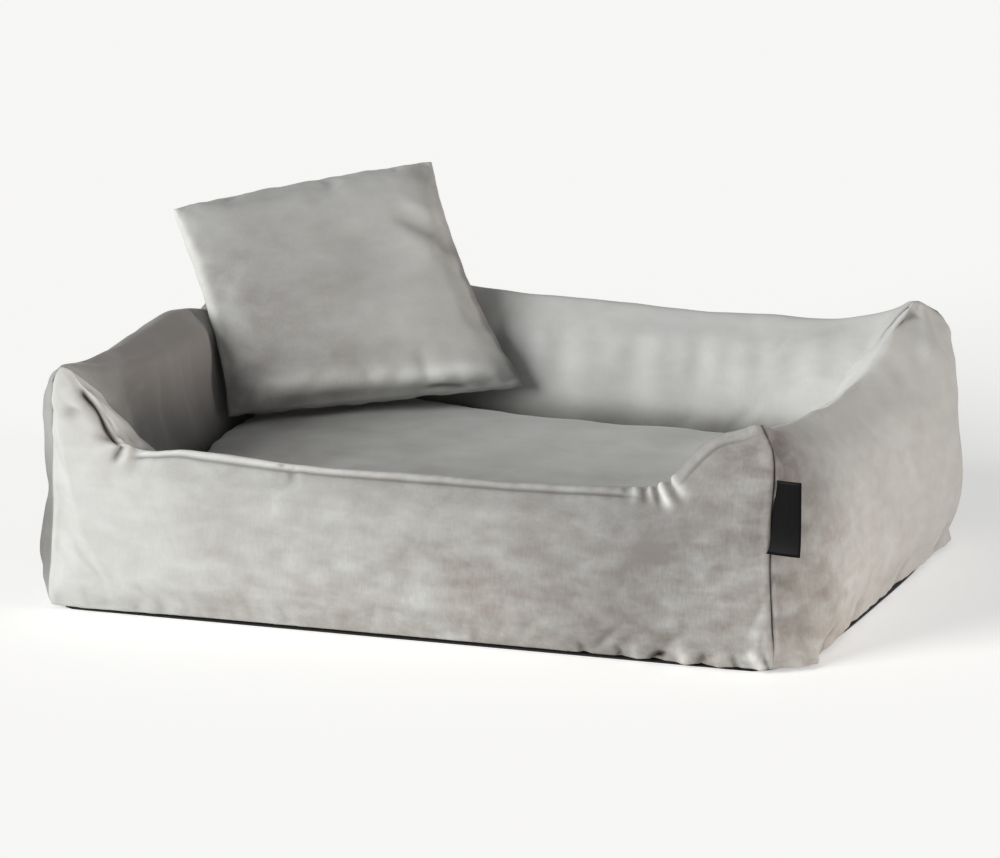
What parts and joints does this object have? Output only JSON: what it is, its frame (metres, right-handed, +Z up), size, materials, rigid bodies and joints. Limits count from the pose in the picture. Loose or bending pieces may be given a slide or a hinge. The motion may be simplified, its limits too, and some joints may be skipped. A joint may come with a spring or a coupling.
{
  "type": "pet bed",
  "caption": "Box-shaped stuffed pet bed with soft corner peaks, a low front entry, a thick loose mat and a square scatter cushion leaning in a rear corner.",
  "frame": {"origin": "centre of the underside of the base fabric, on the floor", "axes": "+X along the bed's length, to the right as seen from the entry; +Y from the low entry to the rear wall; +Z up"},
  "size_m": [0.8294, 0.6009, 0.352],
  "materials": {
    "velour": "light silver-grey upholstery velour with a short brushed pile",
    "lining_fabric": "plain woven polyester lining",
    "base_fabric": "black woven polyester with a non-slip coating",
    "fibre_filling": "white hollow polyester fibre",
    "label_ribbon": "black woven satin ribbon",
    "zip_tape": "grey woven zip tape",
    "zip_teeth": "grey moulded acetal",
    "zip_slider": "grey lacquered zinc casting"
  },
  "bodies": {
    "bed": {"base_panel": "base_fabric", "base_wadding": "fibre_filling", "floor_lining": "lining_fabric", "front_wall_cover": "velour", "right_wall_cover": "velour", "rear_wall_cover": "velour", "left_wall_cover": "velour", "front_wall_filling": "fibre_filling", "right_wall_filling": "fibre_filling", "rear_wall_filling": "fibre_filling", "left_wall_filling": "fibre_filling", "side_label": "label_ribbon"},
    "mat": {"mat_top_panel": "velour", "mat_side_band": "velour", "mat_base_panel": "lining_fabric", "mat_filling": "fibre_filling", "mat_zip_tape_upper": "zip_tape", "mat_zip_tape_lower": "zip_tape", "mat_zip_teeth_upper": "zip_teeth", "mat_zip_teeth_lower": "zip_teeth", "mat_zip_stops": "zip_teeth"},
    "zip_slider": {"mat_zip_slider": "zip_slider"},
    "scatter_cushion": {"cushion_front_panel": "velour", "cushion_back_panel": "velour", "cushion_filling": "fibre_filling"}
  },
  "joints": [
    {"name": "mat_lift", "type": "slide", "parent": "bed", "child": "mat", "axis": [0, 0, 1], "range_m": [0, 0.28]},
    {"name": "zip_slide", "type": "slide", "parent": "mat", "child": "zip_slider", "axis": [-1, 0, 0], "range_m": [0, 0.408]},
    {"name": "cushion_lift", "type": "slide", "parent": "mat", "child": "scatter_cushion", "axis": [0, 0, 1], "range_m": [0, 0.2]}
  ]
}
